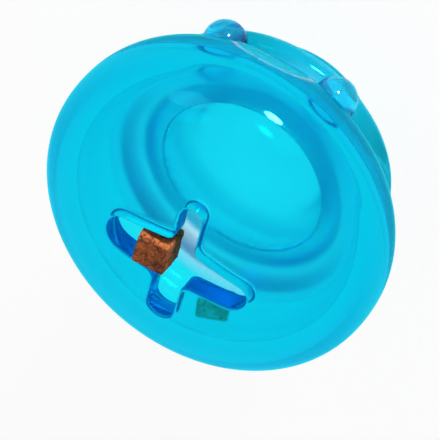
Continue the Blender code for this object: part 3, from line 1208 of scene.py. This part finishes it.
@dataclass
class Treat:
    """A baked cube: uneven faces, worn edges, pits and loose crumbs on its skin.

    swell, grit and holes are the scale and the detail of the noises that shape it.
    """

    node: Node
    seed: int
    size: Point3
    turns: Point3 = (0.0, 0.0, 0.0)
    inset: float = 0.00035
    cuts: int = 30
    corner: float = 0.0010
    swell: Point = (210.0, 1.0)
    grit: Point = (900.0, 4.0)
    holes: Point = (430.0, 2.0)
    hole_edge: Point = (0.30, 0.45)
    swell_share: float = 1.6
    level: float = 1.75
    rough: float = 0.00045
    pits: float = 0.00055
    crumbs: float = 900000.0
    crumb_radius: float = 0.00030
    crumb_sizes: tuple[Point3, Point3] = ((0.35, 0.35, 0.25), (1.1, 1.0, 0.7))

    def block(self) -> Mesh:
        """The cube before it is roughened, in its place and leaning as its solid does.

        Returns:
            The mesh.
        """
        low, high = (Vector(corner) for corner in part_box(self.node.value))
        middle = (low + high) / 2.0
        shape = bmesh.new()
        bmesh.ops.create_cube(shape, size=2.0)
        bmesh.ops.subdivide_edges(shape, edges=shape.edges[:], cuts=self.cuts, use_grid_fill=True)
        half = Vector(self.size) / 2.0 - Vector((self.inset,) * 3)
        for vertex in shape.verts:
            spot = Vector((vertex.co[axis] * half[axis] for axis in range(3)))
            core = [half[axis] - self.corner for axis in range(3)]
            core = Vector((max(-core[axis], min(core[axis], spot[axis])) for axis in range(3)))
            off = spot - core
            vertex.co = core + off.normalized() * self.corner if off.length > TINY else spot
        place = Matrix.Translation(middle) @ Euler(self.turns).to_matrix().to_4x4()
        bmesh.ops.transform(shape, matrix=place, verts=shape.verts)
        bmesh.ops.recalc_face_normals(shape, faces=shape.faces)
        mesh = bpy.data.meshes.new(self.node.value)
        shape.to_mesh(mesh)
        shape.free()
        return mesh

    def tree(self, material: Material) -> NodeTree:
        """The tree that roughens the block and strews crumbs on it.

        Args:
            material: The treat's material.

        Returns:
            The tree, with Rough, Pits, Crumbs and Seed inputs.
        """
        inputs = {"Geometry": None, "Rough": 0.0, "Pits": 0.0, "Crumbs": 0.0, "Seed": 0}
        name = self.node.value + "_rough"
        group, wiring, given, result = new_group("Geometry", name, inputs, ("Geometry",))
        place, facing = wiring.out("GeometryNodeInputPosition"), wiring.out("GeometryNodeInputNormal")
        swell, grit, holes = (
            wiring.noise(Vector=place, W=given["Seed"], Scale=scale, Detail=detail)
            for scale, detail in (self.swell, self.grit, self.holes)
        )
        pits = wiring.spread(holes, self.hole_edge, (1.0, 0.0))
        bumps = wiring.math("ADD", wiring.math("MULTIPLY", swell, self.swell_share), grit)
        rough = wiring.math("MULTIPLY", wiring.math("SUBTRACT", bumps, self.level), given["Rough"])
        depth = wiring.math("SUBTRACT", rough, wiring.math("MULTIPLY", pits, given["Pits"]))
        push = wiring.out("ShaderNodeVectorMath", {"operation": "SCALE"}, facing, Scale=depth)
        skin = wiring.out("GeometryNodeSetPosition", Geometry=given["Geometry"], Offset=push)
        seed, density = given["Seed"], given["Crumbs"]
        spots = wiring.add("GeometryNodeDistributePointsOnFaces", Mesh=skin, Density=density, Seed=seed)
        grain = wiring.out("GeometryNodeMeshIcoSphere", Radius=self.crumb_radius, Subdivisions=1)
        settings = {"data_type": "FLOAT_VECTOR"}
        size = wiring.out("FunctionNodeRandomValue", settings, *self.crumb_sizes, Seed=seed)
        where = {"Points": spots.outputs[0], "Rotation": spots.outputs["Rotation"]}
        crumbs = wiring.out("GeometryNodeInstanceOnPoints", Instance=grain, Scale=size, **where)
        both = wiring.add("GeometryNodeJoinGeometry", None, crumbs)
        wiring.feed(both.inputs[0], skin)
        plain = wiring.out("GeometryNodeRealizeInstances", Geometry=both.outputs[0])
        smooth = wiring.out("GeometryNodeSetShadeSmooth", Geometry=plain)
        wiring.feed(result[0], wiring.out("GeometryNodeSetMaterial", Geometry=smooth, Material=material))
        return group

    def build(self, material: Material) -> Object:
        """Make the treat as a plain mesh."""
        values = {"Rough": self.rough, "Pits": self.pits, "Crumbs": self.crumbs, "Seed": self.seed}
        return baked_by_nodes(self.node.value + "_baked", self.tree(material), values, self.block())


@dataclass
class Stage:
    """Floor, world, lamps and camera."""

    view_tilt: float = math.radians(47)
    view_turn: float = math.radians(-107)
    roll_side: float = 0.64
    roll_up: float = 0.768
    lens: float = 300.0
    sensor: float = 36.0
    frame_width: float = 0.1303
    aim_right: float = 0.0002
    aim_up: float = -0.00456
    ambient: float = 0.55
    clip_end: float = 20.0
    floor_side: float = 6.0
    floor_tone: float = 0.94
    floor_glow: float = 0.90
    bounces: int = 32

    def axes(self) -> tuple[Vector, Vector, Vector]:
        """The camera's right, up and back directions."""
        out = Vector((math.cos(self.view_turn), math.sin(self.view_turn), 0.0))
        back = out * math.sin(self.view_tilt) + Vector((0.0, 0.0, math.cos(self.view_tilt)))
        low = out * math.cos(self.view_tilt) - Vector((0.0, 0.0, math.sin(self.view_tilt)))
        side = Vector((out.y, -out.x, 0.0))
        return low * self.roll_side + side * self.roll_up, low * self.roll_up - side * self.roll_side, back

    def centre(self) -> Vector:
        """The middle of the toy's widest circle."""
        return Vector((0.0, 0.0, EQUATOR_HEIGHT))

    def camera(self) -> None:
        """Set the camera where the photograph was taken from."""
        right, up, back = self.axes()
        data = bpy.data.cameras.new("camera")
        data.lens = self.lens
        data.sensor_width = self.sensor
        data.clip_end = self.clip_end
        seen = bpy.data.objects.new("camera", data)
        distance = self.lens / self.sensor * self.frame_width
        target = self.centre() + right * self.aim_right + up * self.aim_up
        turned = Matrix((right, up, back)).transposed().to_4x4()
        seen.matrix_world = Matrix.Translation(target + back * distance) @ turned
        bpy.context.scene.collection.objects.link(seen)
        bpy.context.scene.camera = seen

    def lamp(self, name: str, direction: Sequence[float], distance: float, size: Point, power: float) -> None:
        """Add a soft oval lamp that faces the toy.

        Args:
            name: The lamp's name.
            direction: Where it stands, as parts of the camera's right, up and back directions.
            distance: How far from the toy's middle.
            size: Its width and height.
            power: Its power in watts.
        """
        way = sum((axis * part for axis, part in zip(self.axes(), direction)), Vector())
        data = bpy.data.lights.new(name, "AREA")
        data.shape = "ELLIPSE"
        data.size, data.size_y = size
        data.energy = power
        lamp = bpy.data.objects.new(name, data)
        lamp.location = self.centre() + way.normalized() * distance
        lamp.rotation_euler = way.to_track_quat("Z", "Y").to_euler()
        bpy.context.scene.collection.objects.link(lamp)

    def world(self) -> None:
        """A white surrounding that the toy lets through and reflects."""
        world = bpy.data.worlds.new("white_surroundings")
        world.use_nodes = True
        wiring = Wiring(world.node_tree)
        rays = wiring.add("ShaderNodeLightPath").outputs
        seen = wiring.math("ADD", rays["Is Camera Ray"], rays["Is Glossy Ray"])
        seen = wiring.math("MINIMUM", wiring.math("ADD", seen, rays["Is Transmission Ray"]), 1.0)
        strength = wiring.spread(seen, (0.0, 1.0), (self.ambient, 1.0))
        sky = wiring.out("ShaderNodeBackground", Color=WHITE, Strength=strength)
        wiring.add("ShaderNodeOutputWorld", Surface=sky)
        bpy.context.scene.world = world

    def floor(self) -> None:
        """A plain pale floor that keeps the toy's shadow."""
        half = self.floor_side / 2.0
        mesh = bpy.data.meshes.new("floor")
        corners = [(-half, -half, 0.0), (half, -half, 0.0), (half, half, 0.0), (-half, half, 0.0)]
        mesh.from_pydata(corners, [], [(0, 1, 2, 3)])
        made, wiring = new_material("pale_floor")
        rays = wiring.add("ShaderNodeLightPath").outputs
        through = wiring.math("MAXIMUM", rays["Is Glossy Ray"], rays["Is Transmission Ray"])
        share = wiring.math("MULTIPLY", rays["Is Camera Ray"], self.floor_glow)
        share = wiring.math("MAXIMUM", share, through)
        matt = wiring.out("ShaderNodeBsdfDiffuse", Color=(self.floor_tone,) * 3)
        glow = wiring.out("ShaderNodeEmission", Color=WHITE, Strength=1.0)
        wiring.add("ShaderNodeOutputMaterial", Surface=wiring.mix(share, matt, glow))
        link("floor", mesh, made)

    def build(self) -> None:
        """Set up everything round the toy."""
        self.floor()
        self.world()
        self.lamp("key_softbox", (0.30, 0.56, 0.80), distance=1.1, size=(0.21, 0.18), power=22.0)
        self.lamp("side_softbox", (-0.60, 0.45, 0.70), distance=1.2, size=(0.5, 0.4), power=1.5)
        self.camera()
        bpy.context.scene.view_settings.view_transform = "Standard"
        paths = bpy.context.scene.cycles
        paths.max_bounces = paths.transmission_bounces = paths.transparent_max_bounces = self.bounces
        paths.glossy_bounces = self.bounces // 2


def main() -> None:
    """Build every piece in order, then the stage."""
    logging.basicConfig(level=logging.INFO, format="%(name)s: %(message)s")
    finishes = Finishes()
    studs = Studs()
    shells = Shells()
    dress(link("front_moulding", shells.front_mesh(studs), finishes.front), Slot.RUBBER, BODY, Node.FRONT)
    dress(link("rear_moulding", shells.rear_mesh(studs), finishes.rear), Slot.RUBBER, BODY, Node.REAR)
    dress(link("bond_film", shells.bond_mesh(), finishes.bond), Slot.BOND, BODY, Node.BOND)
    dress(studs.build(finishes.stud, shells), Slot.STUD, BODY, Node.STUD_LEFT, Node.STUD_RIGHT)
    held = Treat(Node.HELD, seed=3, size=(0.0114, 0.0125, 0.0114))
    turns = tuple(math.radians(turn) for turn in (43, -21, 4))
    loose = Treat(Node.LOOSE, seed=11, size=(0.0110, 0.0098, 0.0112), turns=turns)
    dress(held.build(finishes.held), Slot.TREAT, Node.HELD.value, Node.HELD)
    dress(loose.build(finishes.loose), Slot.TREAT, Node.LOOSE.value, Node.LOOSE)
    Stage().build()
    bpy.context.view_layer.update()


if __name__ == "__main__":
    main()
